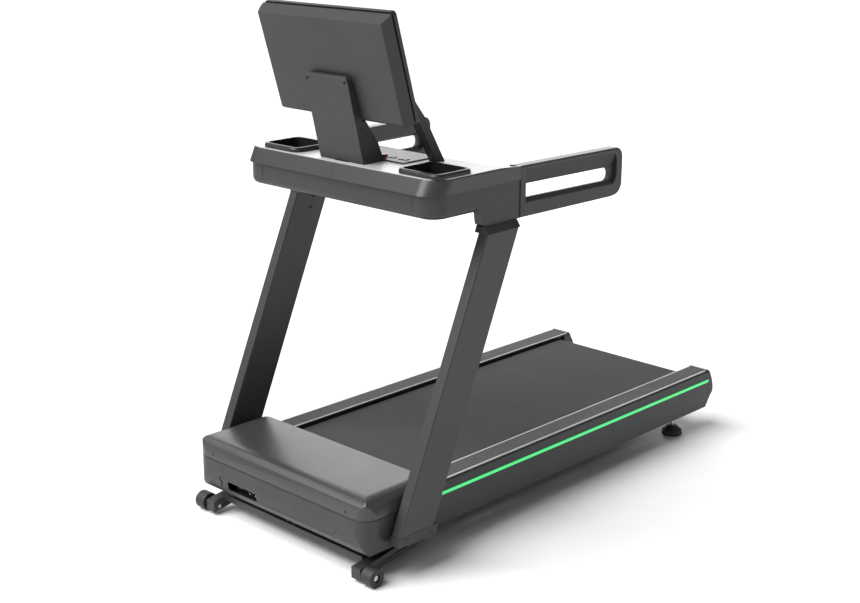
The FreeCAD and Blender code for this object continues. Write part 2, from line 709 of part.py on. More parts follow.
def upright(name):
    front_low = ("post_foot_y", "post_foot_z")
    front_high = ("post_head_y", "post_head_z")
    outer = prism(name + "Outer", "x", [
        front_low, front_high, ("post_head_y-post_deep", "post_head_z"),
        ("post_foot_y-post_deep", "post_foot_z")],
        "-post_outer", "-post_inner",
        rounds=[(5, lambda edge: abs(edge.tangentAt(edge.FirstParameter).z) > 0.5)])
    inner = prism(name + "Inner", "x", [
        ("post_foot_y-4", "post_foot_z-0.01"), ("post_head_y-4", "post_head_z+0.01"),
        ("post_head_y-post_deep+4", "post_head_z+0.01"),
        ("post_foot_y-post_deep+4", "post_foot_z-0.01")],
        "-post_outer+post_wall", "-post_inner-post_wall")
    return cut(name, outer, [inner])


pair("upright", upright)


def foot_cover(name):
    return prism(name, "x", [
        ("post_foot_y-post_deep-12", "post_foot_z-0.5"), ("post_foot_y-post_deep-14", "post_foot_z-26"),
        ("post_foot_y-post_deep-4", "post_foot_z-38"), ("post_foot_y-post_deep+8", "post_foot_z-40"),
        ("post_foot_y-50", "post_foot_z-36"), ("post_foot_y+4", "post_foot_z-33"),
        ("post_foot_y+12", "post_foot_z-26"), ("post_foot_y+1", "post_foot_z-0.5")],
        "-post_outer", "-post_inner",
        rounds=[(4, lambda edge: edge.Length > 8 and abs(edge.BoundBox.XMax + number("post_outer")) < 0.01
                 and edge.BoundBox.ZMax < number("post_foot_z") - 1)])


both("foot_covers", foot_cover)


foot_screws = [
    rod("FootScrew%d%s" % (k, side), "x", 3.5, low, high, (y, z))
    for k, (y, z) in enumerate(((829, 140), (726, 138), (714, 125)))
    for side, low, high in (("L", "-post_outer-0.8", "-post_outer-0.02"),
                            ("R", "post_outer+0.02", "post_outer+0.8"))]

# ---------------------------------------------------------------- console


def console_plan(name, half, front, rear, low, high, corner, more):
    half_left = "-(%s)" % half
    return prism(name, "z", [(half_left, rear), (half, rear), (half, front), (half_left, front)],
                 low, high,
                 rounds=[(corner, any_of(spot(x=half, y=front), spot(x=half_left, y=front)))]
                 + more)


def belly_edge(edge):
    """An edge of the underside, all but its straight rear one."""
    limits = edge.BoundBox
    return limits.ZMax < number("console_low+6") and limits.YMax > number("arm_front+6")


base_outer = console_plan("BaseOuter", "console_half-3", "console_belly-14", "arm_front",
                          "console_low", "console_split-0.5", "console_corner-6",
                          [("base_round", belly_edge)])
base_inner = console_plan("BaseInner", "console_half-8", "console_belly-19", "arm_front+4",
                          "console_low+5", "console_split+1", "console_corner-11",
                          [("base_round-5", belly_edge)])
base_back = box("BaseBack", "-arm_inner+6", "arm_inner-6", "arm_front-1", "console_rear",
                "console_low-1", "console_split+1")
necks = [prism("Neck%s" % side, "x", [
    ("arm_front", "console_low+24"), ("arm_front", "arm_low"), ("post_head_y-12", "arm_low"),
    ("post_head_y-4", "arm_low+6"), ("post_head_y+2", "console_low-8"),
    ("post_head_y+16", "console_low+1"), ("post_head_y+30", "console_low+24")], low, high)
    for side, low, high in (("L", "-console_half+3", "-arm_inner"),
                            ("R", "arm_inner", "console_half-3"))]
base_shell = cut("BaseShell", base_outer, [base_inner, base_back])
base_wall = box("BaseWall", "-arm_inner+6", "arm_inner-6", "console_rear", "console_rear+4",
                "console_low", "console_split-0.5")
console_base = join("ConsoleBase", [base_shell, base_wall] + necks)
node("console_base", console_base)


def collar(name):
    block = prism(name + "Block", "x", [
        ("post_head_y-post_deep-4", "post_head_z"), ("post_head_y+1", "post_head_z"),
        ("post_head_y-7", "arm_low-0.02"), ("post_head_y-post_deep-13", "arm_low-0.02")],
        "-post_outer", "-arm_inner-3")
    taper = prism(name + "Taper", "y", [
        ("-post_outer", "post_head_z-1"), ("-arm_inner-2", "post_head_z-1"),
        ("-arm_inner-2", "arm_low+1"), ("-console_half+2", "arm_low+1"),
        ("-post_outer", "post_head_z+3")],
        "post_head_y-post_deep-20", "post_head_y+10")
    return common(name, [block, taper])


both("collars", collar)


def cup_block(name, centre, grow, low, high, rounds):
    """A rounded block on the left side, centred on the named cup holder."""
    x_half = "(cup_half_x%s)" % grow
    y_half = "(cup_half_y%s)" % grow
    return prism(name, "z", [
        ("-%s-%s" % (centre, x_half), "cup_y-" + y_half),
        ("-%s+%s" % (centre, x_half), "cup_y-" + y_half),
        ("-%s+%s" % (centre, x_half), "cup_y+" + y_half),
        ("-%s-%s" % (centre, x_half), "cup_y+" + y_half)],
        low, high, rounds=rounds)


def upright_edge(edge):
    return edge.BoundBox.ZLength > 5


def sloped_plan(name):
    """The band's outline, sliding back as it rises so that its front slopes."""
    body = prism(name, "z", [
        ("-console_half", "arm_front-1"), (-0.3, "arm_front-1"),
        (-0.3, "console_belly"), ("-console_half", "console_belly")],
        "console_split", "console_top")
    pad = body.Tip
    pad.UseCustomVector = True
    pad.Direction = Vector(0, number("console_front-console_belly"),
                           number("console_top-console_split"))
    pad.AlongSketchNormal = True
    doc.recompute()
    last = pad
    for k, (radius, test) in enumerate((
            ("console_corner", lambda edge: edge.BoundBox.ZLength > 30
             and edge.BoundBox.XMax < -number("console_half") + 1
             and edge.BoundBox.YMin > number("console_front") - 1),
            ("arm_round", lambda edge: edge.BoundBox.ZMin > number("console_top") - 0.01
             and edge.BoundBox.XMin < -1
             and edge.BoundBox.YMax > number("arm_front") + 10
             and not (edge.BoundBox.XMin > -1)))):
        chosen = ["Edge%d" % (i + 1) for i, edge in enumerate(last.Shape.Edges) if test(edge)]
        fillet = body.newObject("PartDesign::Fillet", name + "Slope%d" % k)
        fillet.Base = (last, chosen)
        bind(fillet, Radius=radius)
        doc.recompute()
        last = fillet
    return body


def console_top(name, centre):
    side = prism(name + "Side", "x", [
        ("arm_front", "console_split"), ("console_belly+1", "console_split"),
        ("console_belly+1", "console_top+1"), ("arm_front+100", "console_top+1"),
        ("arm_front+100", "console_top"), ("arm_front", "arm_high")],
        "-console_half-1", -0.4)
    plan = sloped_plan(name + "Plan")
    solid = common(name + "Solid", [side, plan])
    hollow = prism(name + "Hollow", "z", [
        ("-console_half+5", "arm_front+5"), (-0.2, "arm_front+5"),
        (-0.2, "console_belly-32"), ("-console_half+5", "console_belly-32")],
        "console_split-1", "console_top-4",
        rounds=[("console_corner-14", spot(x="-console_half+5", y="console_belly-32"))])
    back = box(name + "Back", "-arm_inner+6", 1, "arm_front-1", "console_rear",
               "console_split-2", "console_top+1")
    cup = cup_block(name + "Cup", centre, "-5", "console_split-2", "console_top+1",
                    [(31, upright_edge)])
    tube = box(name + "Tube", -31, 1, "mast_foot_y-32", "mast_foot_y+4",
               "console_split-2", "console_top+1")
    keys = box(name + "Keys", "-panel_half+6", 1, "panel_rear+8", "panel_front-4",
               "console_split-2", "console_top+1")
    shell = cut(name + "Shell", solid, [hollow, back, cup, keys, tube])
    lip = box(name + "Lip", "-arm_inner+6", -0.4, "console_rear", "console_rear+4",
              "console_split", "console_top-1")
    return join(name, [shell, lip])


node("console_top_l", console_top("ConsoleTopLeft", "cup_left"))
node("console_top_r", mirror("ConsoleTopRight", console_top("ConsoleTopDrawn", "cup_right")))


def cup_holder(name, centre):
    rim = cup_block(name + "Rim", centre, "", "console_top", "cup_rim",
                    [(34, upright_edge), (9, spot(z="cup_rim"))])
    well = cup_block(name + "Well", centre, "-6", "cup_floor", "console_top+1",
                     [(30, upright_edge)])
    hole = cup_block(name + "Hole", centre, "-14", "cup_floor+3", "cup_rim+1",
                     [(22, upright_edge)])
    return cut(name, join(name + "Solid", [rim, well]), [hole])


node("cup_holders", group("CupHolders", [
    cup_holder("CupHolderLeft", "cup_left"),
    mirror("CupHolderRight", cup_holder("CupHolderDrawn", "cup_right"))]))


def arm_outer_edge(edge):
    """An edge of the arm's outer face, all but its upright front end."""
    flat = abs(edge.BoundBox.XMin + number("console_half")) < 0.01
    return flat and edge.BoundBox.XLength < 0.01 and edge.BoundBox.YMin < number("arm_front-1")


def arm(name):
    """A handrail arm with a finger slot between two hollowed faces, splayed."""
    outline = prism(name + "Outline", "x", [
        ("arm_front-0.5", "arm_low"), ("arm_front-0.5", "arm_high"),
        ("arm_rear+60", "arm_high+1"), ("arm_rear", "arm_high+1"),
        ("arm_rear", "arm_low+10"), ("arm_rear+60", "arm_low+4")],
        "-console_half", "-arm_inner",
        rounds=[(34, spot(y="arm_rear", z="arm_high+1")),
                (44, spot(y="arm_rear", z="arm_low+10")),
                ("arm_round", arm_outer_edge)])
    slot = prism(name + "Slot", "x", [
        ("slot_rear", "slot_low"), ("slot_front", "slot_low"),
        ("slot_front", "slot_high"), ("slot_rear", "slot_high")],
        "-console_half-1", "-arm_inner+1",
        rounds=[(21, any_of(spot(y="slot_rear", z="slot_low"), spot(y="slot_rear", z="slot_high"))),
                (6, any_of(spot(y="slot_front", z="slot_low"), spot(y="slot_front", z="slot_high")))])
    window = prism(name + "Window", "x", [
        ("slot_rear-30", "slot_low-18"), ("slot_front+4", "slot_low-18"),
        ("slot_front+4", "arm_high-8"), ("slot_rear-30", "arm_high-8")],
        "-console_half-1", "-arm_inner+1",
        rounds=[(40, any_of(spot(y="slot_rear-30", z="slot_low-18"),
                            spot(y="slot_rear-30", z="arm_high-8")))])
    faces = []
    for side, outer in (("Out", True), ("In", False)):
        skin = "-console_half-1" if outer else "-arm_inner+1"
        web = "-arm_web-5" if outer else "-arm_web+5"
        low, high = ("slot_low-14", "slot_high+54") if outer else ("slot_low-17", "slot_high+12")
        wedge = prism(name + side + "Wedge", "y", [
            (skin, low), (web, "slot_low"), (web, "slot_high"), (skin, high)],
            "slot_rear-60", "slot_front+30")
        faces.append(common(name + side + "Face", [wedge, group(name + side + "Window", [window])]))
    straight = cut(name + "Straight", outline, [slot] + faces)
    splayed = group(name, [straight])
    splayed.Placement = FreeCAD.Placement(Vector(0, 0, 0), Rotation(Vector(0, 0, -1), 2))
    bind(splayed, Placement__Rotation__Angle="arm_splay",
         Placement__Base__x="-console_half*(1-cos(arm_splay*1deg))-(arm_front-0.5)*sin(arm_splay*1deg)",
         Placement__Base__y="(arm_front-0.5)*(1-cos(arm_splay*1deg))-console_half*sin(arm_splay*1deg)")
    return splayed


pair("arm", arm)

# key panel and its keys
KEYS = [("key_incline_down", -2.5), ("key_incline_up", -1.5), ("key_stop", -0.5),
        ("key_start", 0.5), ("key_speed_down", 1.5), ("key_speed_up", 2.5)]
panel_plate = box("PanelPlate", "-panel_half", "panel_half", "panel_rear", "panel_front",
                  "console_top", "console_top+panel_thick")
key_holes = []
for key, place in KEYS:
    centre = "key_pitch*%s" % place
    key_holes.append(box(key + "Hole", centre + "-key_wide*0.5-key_gap",
                         centre + "+key_wide*0.5+key_gap",
                         "key_y-key_deep*0.5-key_gap", "key_y+key_deep*0.5+key_gap",
                         "console_top-1", "console_top+panel_thick+1"))
    node(key, prism(key + "Cap", "z", [
        (centre + "-key_wide*0.5", "key_y-key_deep*0.5"),
        (centre + "+key_wide*0.5", "key_y-key_deep*0.5"),
        (centre + "+key_wide*0.5", "key_y+key_deep*0.5"),
        (centre + "-key_wide*0.5", "key_y+key_deep*0.5")],
        "console_top-2", "console_top+panel_thick+2",
        rounds=[(1.2, spot(z="console_top+panel_thick+2"))]))
stop_hole = rod("StopHole", "z", "stop_radius*0.6+key_gap", "console_top-1",
                "console_top+panel_thick+1", ("stop_x", "stop_y"))
node("key_panel", cut("KeyPanel", panel_plate, key_holes + [stop_hole]))
node("emergency_stop", join("EmergencyStop", [
    rod("StopStem", "z", "stop_radius*0.6", "console_top-2", "console_top+panel_thick+7",
        ("stop_x", "stop_y")),
    rod("StopHead", "z", "stop_radius", "console_top+panel_thick+6",
        "console_top+panel_thick+13", ("stop_x", "stop_y"))]))

# ---------------------------------------------------------------- mast
MAST_FRONT = [("mast_foot_y", "console_top"), ("mast_head_y", "mast_head_z-8"),
              ("mast_head_y-4", "mast_head_z+2"), ("mast_head_y-16", "mast_head_z+4"),
              ("screen_y+2", "screen_z+2"), ("mast_foot_y-22", "console_top")]
mast_outer = prism("MastFrontOuter", "x", MAST_FRONT, "-mast_half", "mast_half")
mast_plan = prism("MastPlan", "y", [
    ("-mast_half", "console_top-1"), ("mast_half", "console_top-1"),
    ("mast_half", "mast_head_z+5"), ("-mast_half", "mast_head_z+5")],
    "mast_foot_y-60", "mast_head_y+10",
    rounds=[(26, any_of(spot(x="mast_half", z="mast_head_z+5"),
                        spot(x="-mast_half", z="mast_head_z+5")))])
mast_bore = prism("MastBore", "x", [
    ("mast_foot_y-24", "console_top-1"), ("mast_foot_y-4", "console_top-1"),
    ("screen_y+22", "screen_z+2"), ("screen_y+46", "screen_z+98"),
    ("screen_y+29", "screen_z+98"), ("screen_y+1", "screen_z+2")], -34, 34)
node("mast_front", cut("MastFront", common("MastFrontSolid", [mast_outer, mast_plan]),
                       [mast_bore]))
mast_back = prism("MastBackSolid", "x", [
    ("mast_foot_y-92", "console_top"), ("mast_foot_y-66", "console_top+64"),
    ("screen_y-18", "screen_z-7"), ("screen_y-1.5", "screen_z-7"),
    ("mast_foot_y-22.5", "console_top")], "-mast_half", "mast_half")
node("mast_back", cut("MastBack", mast_back, [
    box("MastBackBore", -34, 34, "mast_foot_y-60", "mast_head_y", "console_top-1",
        "screen_z+40")]))
node("mast_tube", prism("MastTube", "x", [
    ("mast_foot_y-30", "console_low+4"), ("mast_foot_y-5", "console_low+4"),
    ("mast_foot_y-5", "console_top+1"), ("screen_y+20", "screen_z"),
    ("screen_y+43", "screen_z+95"), ("screen_y+30", "screen_z+95"),
    ("screen_y+2", "screen_z"), ("mast_foot_y-24", "console_top+1")], -30, 30))
mast_screws = group("MastScrews", [
    rod("MastScrew%s" % side, "y", 3.5, "mast_head_y-3", "mast_head_y+1",
        (sign + "86", "mast_head_z-16")) for side, sign in (("L", "-"), ("R", ""))]
    + [rod("MastSideScrew%d%s" % (k, side), "x", 3,
           "mast_half+0.02" if side == "R" else "-mast_half-1",
           "mast_half+1" if side == "R" else "-mast_half-0.02", (y, z))
       for k, (y, z) in enumerate(((655, 1352), (630, 1258))) for side in ("L", "R")])
node("cover_screws", group("CoverScrews", [hood_screws, mast_screws] + foot_screws))

# ---------------------------------------------------------------- display


def leaned(name, obj):
    """The piece, drawn upright, leant forward with the display."""
    held = group(name, [obj])
    held.Placement = FreeCAD.Placement(Vector(0, 0, 0), Rotation(Vector(-1, 0, 0), 10))
    bind(held, Placement__Base__y="screen_y", Placement__Base__z="screen_z",
         Placement__Rotation__Angle="screen_lean")
    return held


back_shell = prism("ScreenBackSolid", "x", [
    (0, 0), (0, "screen_high-21"), (-38, "screen_high-4"), (-42, "screen_high-4"),
    (-42, "screen_low+4"), (-10, "screen_low+4")], "-screen_half+2", "screen_half-2")
back_taper = prism("ScreenBackTaper", "z", [
    ("-screen_back", 0), ("-screen_half+2", -26), ("-screen_half+2", -43),
    ("screen_half-2", -43), ("screen_half-2", -26), ("screen_back", 0)],
    "screen_low", "screen_high")
back_step = box("ScreenBackStep", "-screen_half+8", "screen_half-8", -46, -42,
                "screen_low+10", "screen_high-10")
back_hollow = box("ScreenBackHollow", "-glass_half+1", "glass_half-1", -47, -10, 22,
                  "screen_high-28")
node("display_back", leaned("DisplayBack", cut("ScreenBackBody", join("ScreenBackJoined", [
    common("ScreenBackBlock", [back_shell, back_taper]), back_step]), [back_hollow])))
bezel = prism("BezelSolid", "y", [
    ("-screen_half", "screen_low"), ("screen_half", "screen_low"),
    ("screen_half", "screen_high"), ("-screen_half", "screen_high")],
    "-screen_deep", -46,
    rounds=[(12, lambda edge: edge.BoundBox.YLength > 10)])
bezel_window = box("BezelWindow", "-glass_half", "glass_half", "-screen_deep-1", -45, 24,
                   "screen_high-24")
node("display_bezel", leaned("DisplayBezel", cut("BezelBody", bezel, [bezel_window])))
node("display_glass", leaned("DisplayGlass", box(
    "GlassPlate", "-glass_half", "glass_half", "-screen_deep+1", "-screen_deep+5", 24,
    "screen_high-24")))
node("display_module", leaned("DisplayModule", box(
    "ModuleBlock", "-glass_half+4", "glass_half-4", -54, -16, 28, "screen_high-32")))

# ---------------------------------------------------------------- grip bar
GRIP = [(416, "console_top"), (450, "console_top"), (529, 1375), (572, 1432), (574, 1444),
        (566, 1452), (553, 1450), (503, 1388)]
BAR = ("bar_y", "bar_z")
legs = [prism("GripLeg%s" % side, "x", GRIP, low, high, rounds=[(5, lambda edge:
        edge.BoundBox.XLength > 30 and edge.BoundBox.ZMin > number("console_top+1"))])
        for side, low, high in (("L", "-grip_out", "-grip_in"), ("R", "grip_in", "grip_out"))]
crossbar = rod("GripCross", "x", "bar_radius", "-grip_in-4", "grip_in+4", BAR)
node("grip_bar", join("GripBar", legs + [crossbar]))
plates = []
for side, low, high in (("L", -170, -60), ("R", 60, 170)):
    sleeve = rod("PulseSleeve" + side, "x", "bar_radius+1.2", low, high, BAR)
    core = rod("PulseCore" + side, "x", "bar_radius", low - 1, high + 1, BAR)
    plates.append(cut("PulsePlate" + side, sleeve, [core]))
node("pulse_plates", group("PulsePlates", plates))

# ---------------------------------------------------------------- lift frame


def lift_arm(name):
    shaft = prism(name + "Shaft", "x", [
        ("lift_y", "lift_z-lift_half"), ("lift_front", "lift_low"),
        ("lift_front", "lift_top"), ("lift_y", "lift_z+lift_half")],
        "-lift_out", "-lift_in")
    knuckle = rod(name + "Knuckle", "x", "lift_half", "-lift_out", "-lift_in",
                  ("lift_y", "lift_z"))
    bore = rod(name + "Bore", "x", "8+running_gap", "-lift_out-1", "-lift_in+1",
               ("lift_y", "lift_z"))
    axle = rod(name + "Axle", "x", "axle_radius", "-lift_out-1", "-lift_in+1",
               ("wheel_y", "wheel_radius"))
    return cut(name, join(name + "Solid", [shaft, knuckle]), [bore, axle])


left_arm = lift_arm("LiftArmLeft")
right_arm = mirror("LiftArmRight", left_arm)
cross = box("LiftCrossTube", "-lift_in", "lift_in", "eye_y-18", "eye_y+17",
            "cross_tube_low", "cross_tube_low+22")
lugs = [box("LiftLug%s" % side, low, high, "eye_y-12", "eye_y+12",
            "cross_tube_low+21", "eye_z+10")
        for side, low, high in (("L", -20, -14), ("R", 14, 20))]
pin = rod("LiftPin", "x", 5, -20, 20, ("eye_y", "eye_z"))
node("lift_frame", join("LiftFrame", [left_arm, right_arm, cross, pin] + lugs))
node("lift_plugs", group("LiftPlugs", [
    box("LiftPlug%s" % side, low, high, "lift_front", "lift_front+4", "lift_low", "lift_top")
    for side, low, high in (("L", "-lift_out", "-lift_in"), ("R", "lift_in", "lift_out"))]))
node("wheel_axles", group("WheelAxles", [
    join("WheelAxle%s" % side, [
        rod("WheelAxleRod%s" % side, "x", "axle_radius", low, high, ("wheel_y", "wheel_radius")),
        rod("WheelAxleHead%s" % side, "x", 9, head_low, head_high, ("wheel_y", "wheel_radius"))])
    for side, low, high, head_low, head_high in (
        ("L", "-wheel_out+9", "-lift_in+4", "-wheel_out+5", "-wheel_out+9.5"),
        ("R", "lift_in-4", "wheel_out-9", "wheel_out-9.5", "wheel_out-5"))]))


def wheel(name):
    disc = rod(name + "Disc", "x", "wheel_radius", "-wheel_out", "-wheel_in",
                             ("wheel_y", "wheel_radius"))
    recess = rod(name + "Recess", "x", 13, "-wheel_out-1", "-wheel_out+10",
                 ("wheel_y", "wheel_radius"))
    bore = rod(name + "Bore", "x", "axle_radius+running_gap", "-wheel_out-1", "-wheel_in+1",
               ("wheel_y", "wheel_radius"))
    return cut(name, disc, [recess, bore])


pair("wheel", wheel)


# lift actuator, drawn upright along -Z from its upper pin, then leant
REACH_Y = number("eye_y") - number("head_y")
REACH_Z = number("head_z") - number("eye_z")
REACH = (REACH_Y ** 2 + REACH_Z ** 2) ** 0.5


def hung(name, obj):
    """The piece, drawn hanging from the origin, moved to the upper pin."""
    held = group(name, [obj])
    held.Placement = FreeCAD.Placement(Vector(0, 0, 0), Rotation(Vector(1, 0, 0), 10))
    held.setExpression("Placement.Base.y", bound("head_y"))
    held.setExpression("Placement.Base.z", bound("head_z"))
    held.setExpression("Placement.Rotation.Angle",
                       bound("atan((eye_y-head_y)/(head_z-eye_z))"))
    return held


actuator_body = join("ActuatorSolid", [
    rod("ActuatorTube", "z", 19, -138, -10, (0, 0)),
    rod("ActuatorKnuckle", "x", 12, -21, 21, (0, 0)),
    box("ActuatorGearbox", -64, 19, -19, 19, -38, -16),
    rod("ActuatorMotor", "z", 19, -118, -37, (-44, 0))])
actuator_bores = [rod("ActuatorBore", "z", "9+running_gap", -139, -26, (0, 0)),
                  rod("ActuatorPinBore", "x", "5+running_gap", -30, 30, (0, 0))]
node("lift_actuator", hung("LiftActuator", cut("ActuatorBody", actuator_body, actuator_bores)))
rod_solid = rod("RodShaft", "z", 9, -REACH + 14, -30, (0, 0))
rod_eye = rod("RodEye", "x", 16, -12, 12, (0, -REACH))
rod_eye_hole = rod("RodEyeHole", "x", 10.5, -13, 13, (0, -REACH))
node("lift_rod", hung("LiftRod", cut("RodBody", join("RodJoined", [rod_solid, rod_eye]),
                                     [rod_eye_hole])))
# ---------------------------------------------------------------- feet


def foot_pad(name, sign):
    profile_low = rod(name + "Low", "z", "foot_radius-3", 0, 4, (sign + "foot_x", "foot_y"))
    rim = rod(name + "Rim", "z", "foot_radius", 4, 18, (sign + "foot_x", "foot_y"))
    cone = doc.addObject("Part::Cone", name + "Cone")
    bind(cone, Radius1="foot_radius-3", Radius2=16, Height=20,
         Placement__Base__x=sign + "foot_x", Placement__Base__y="foot_y", Placement__Base__z=18)
    socket_ = rod(name + "Socket", "z", "11.5", 22, 40, (sign + "foot_x", "foot_y"))
    return cut(name, join(name + "Solid", [profile_low, rim, cone]), [socket_])


node("foot_pads", group("FootPads", [foot_pad("FootPadL", "-"), foot_pad("FootPadR", "")]))


def foot_stem(name, sign):
    ball = doc.addObject("Part::Sphere", name + "Ball")
    bind(ball, Radius=10, Placement__Base__x=sign + "foot_x", Placement__Base__y="foot_y",
         Placement__Base__z="foot_ball_z")
    thread = rod(name + "Thread", "z", "stem_radius", "foot_ball_z", "tube_low+tube_wall+20",
                 (sign + "foot_x", "foot_y"))
    nut = rod(name + "Nut", "z", 13, "tube_low-22", "tube_low", (sign + "foot_x", "foot_y"))
    return join(name, [ball, thread, nut])


node("foot_stems", group("FootStems", [foot_stem("FootStemL", "-"), foot_stem("FootStemR", "")]))

# ---------------------------------------------------------------- checks and files
doc.recompute()
faults = []
for obj in doc.Objects:
    if "Invalid" in obj.State or "Error" in obj.State:
        faults.append("%s: %s" % (obj.Name, obj.State))
for name, obj in NODES.items():
    if obj.Shape.isNull() or not obj.Shape.isValid():
        faults.append("%s: bad shape" % name)
    elif not obj.Shape.Solids:
        faults.append("%s: no solid" % name)
if faults:
    raise RuntimeError("; ".join(faults))

os.makedirs("parts", exist_ok=True)
for name, obj in NODES.items():
    obj.Shape.exportStep(os.path.join("parts", name + ".step"))
    size = obj.Shape.BoundBox
    print("%-18s %7.1f %7.1f  %7.1f %7.1f  %7.1f %7.1f  solids %d" % (
        name, size.XMin, size.XMax, size.YMin, size.YMax, size.ZMin, size.ZMax,
        len(obj.Shape.Solids)))
print(len(NODES), "nodes")
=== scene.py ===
import json
import math

import bmesh
import bpy
from mathutils import Matrix, Vector
from mathutils.bvhtree import BVHTree


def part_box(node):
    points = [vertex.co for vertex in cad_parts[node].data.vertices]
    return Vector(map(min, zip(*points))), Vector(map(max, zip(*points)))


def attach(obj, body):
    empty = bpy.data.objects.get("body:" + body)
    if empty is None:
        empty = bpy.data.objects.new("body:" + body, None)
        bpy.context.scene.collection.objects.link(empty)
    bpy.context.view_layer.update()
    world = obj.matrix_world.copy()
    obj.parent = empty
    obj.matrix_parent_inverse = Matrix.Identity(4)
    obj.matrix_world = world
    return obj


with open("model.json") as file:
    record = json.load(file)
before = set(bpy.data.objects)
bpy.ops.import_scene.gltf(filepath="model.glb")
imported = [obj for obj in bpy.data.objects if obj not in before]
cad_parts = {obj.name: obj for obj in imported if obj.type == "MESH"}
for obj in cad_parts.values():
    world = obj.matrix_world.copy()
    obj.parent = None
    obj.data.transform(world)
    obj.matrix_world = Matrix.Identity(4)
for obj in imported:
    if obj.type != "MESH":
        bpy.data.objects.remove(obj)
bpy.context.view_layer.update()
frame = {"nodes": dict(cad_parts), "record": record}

nodes = frame["nodes"]
scene = bpy.context.scene
MM = 0.001

# ------------------------------------------------------------------- settings
LENS_MM = 61.42
SENSOR_MM = 36.0
CAMERA_PLACE = (-3.409175, 3.755745, 2.128340)
CAMERA_AROUND = math.radians(44.1279)
CAMERA_DOWN = math.radians(16.3816)
SUN_STRENGTH = 4.6
SUN_SPREAD = math.radians(50)
REAR_WATTS = 120
WORLD_STRENGTH = 0.27
FLOOR_HALF = 30.0
FLOOR_DROP = 0.0005
WELD_GAP = 0.00002
DISPLAY_FOOT = (0, 0.649, 1.387)
DISPLAY_LEAN = math.radians(16.2)
TILE_DEPTH = -0.0542
RAISED_TILE_DEPTH = -0.0545
RAISED_TILES = ("Clock", "BarA", "BarB", "Go")
AHEAD = 1.2
TOWARDS_REAR = (0, -1, 0)


# ------------------------------------------------------------------ materials
def add(tree, kind, **inputs):
    """A shader node with some of its inputs set."""
    made = tree.nodes.new("ShaderNode" + kind)
    for key, value in inputs.items():
        made.inputs[key.replace("_", " ")].default_value = value
    return made


def tint(color, factor):
    return (min(1.0, color[0] * factor), min(1.0, color[1] * factor),
            min(1.0, color[2] * factor), 1.0)


def coordinates(tree, stretch=(1, 1, 1), turn=(0, 0, 0)):
    """Object coordinates in metres, optionally stretched and turned."""
    source = tree.nodes.new("ShaderNodeTexCoord")
    mapping = tree.nodes.new("ShaderNodeMapping")
    mapping.inputs["Scale"].default_value = stretch
    mapping.inputs["Rotation"].default_value = turn
    tree.links.new(source.outputs["Object"], mapping.inputs["Vector"])
    return mapping.outputs["Vector"]


def grain_height(tree, kind, scale):
    """A height field for the fine surface: moulded, powder, ribs, brushed or diamond."""
    link = tree.links.new
    if kind == "moulded":
        cells = add(tree, "TexVoronoi", Scale=scale)
        cells.feature = "SMOOTH_F1"
        link(coordinates(tree), cells.inputs["Vector"])
        return cells.outputs["Distance"]
    if kind == "brushed":
        streaks = add(tree, "TexNoise", Scale=scale, Detail=4.0)
        link(coordinates(tree, (0.04, 1, 1)), streaks.inputs["Vector"])
        return streaks.outputs["Fac"]
    if kind == "ribs":
        waves = add(tree, "TexWave", Scale=scale, Distortion=0.0)
        waves.bands_direction = "X"
        link(coordinates(tree), waves.inputs["Vector"])
        return waves.outputs["Fac"]
    if kind == "diamond":
        crossed = []
        for angle in (35, -35):
            waves = add(tree, "TexWave", Scale=scale, Distortion=0.0)
            link(coordinates(tree, turn=(0, 0, math.radians(angle))), waves.inputs["Vector"])
            crossed.append(waves.outputs["Fac"])
        both = tree.nodes.new("ShaderNodeMath")
        both.operation = "MULTIPLY"
        link(crossed[0], both.inputs[0])
        link(crossed[1], both.inputs[1])
        return both.outputs[0]
    speckle = add(tree, "TexNoise", Scale=scale, Detail=3.0, Roughness=0.6)
    link(coordinates(tree), speckle.inputs["Vector"])
    return speckle.outputs["Fac"]


def surface(name, color, rough, kind="moulded", scale=1400.0, depth=0.03, mottle=0.10,
            patch=6.0, metallic=0.0, coat=0.0, specular=0.5):
    """A finished surface: uneven colour, uneven gloss and a fine relief."""
    made = bpy.data.materials.new(name)
    made.use_nodes = True
    tree = made.node_tree
    link = tree.links.new
    shader = tree.nodes["Principled BSDF"]
    shader.inputs["Metallic"].default_value = metallic
    shader.inputs["Coat Weight"].default_value = coat
    shader.inputs["Coat Roughness"].default_value = 0.18
    shader.inputs["Specular IOR Level"].default_value = specular
    clouds = add(tree, "TexNoise", Scale=patch, Detail=5.0, Roughness=0.62)
    link(coordinates(tree), clouds.inputs["Vector"])
    ramp = tree.nodes.new("ShaderNodeValToRGB")
    ramp.color_ramp.elements[0].position = 0.32
    ramp.color_ramp.elements[0].color = tint(color, 1 - mottle)
    ramp.color_ramp.elements[1].position = 0.68
    ramp.color_ramp.elements[1].color = tint(color, 1 + mottle)
    link(clouds.outputs["Fac"], ramp.inputs["Fac"])
    link(ramp.outputs["Color"], shader.inputs["Base Color"])
    smears = add(tree, "TexNoise", Scale=patch * 4.5, Detail=4.0, Roughness=0.7)
    link(coordinates(tree, (1, 0.5, 1)), smears.inputs["Vector"])
    spread = add(tree, "MapRange", To_Min=max(0.02, rough - 0.05), To_Max=min(1.0, rough + 0.06))
    link(smears.outputs["Fac"], spread.inputs["Value"])
    link(spread.outputs["Result"], shader.inputs["Roughness"])
    relief = add(tree, "Bump", Strength=0.6, Distance=depth * MM)
    link(grain_height(tree, kind, scale), relief.inputs["Height"])
    link(relief.outputs["Normal"], shader.inputs["Normal"])
    return made


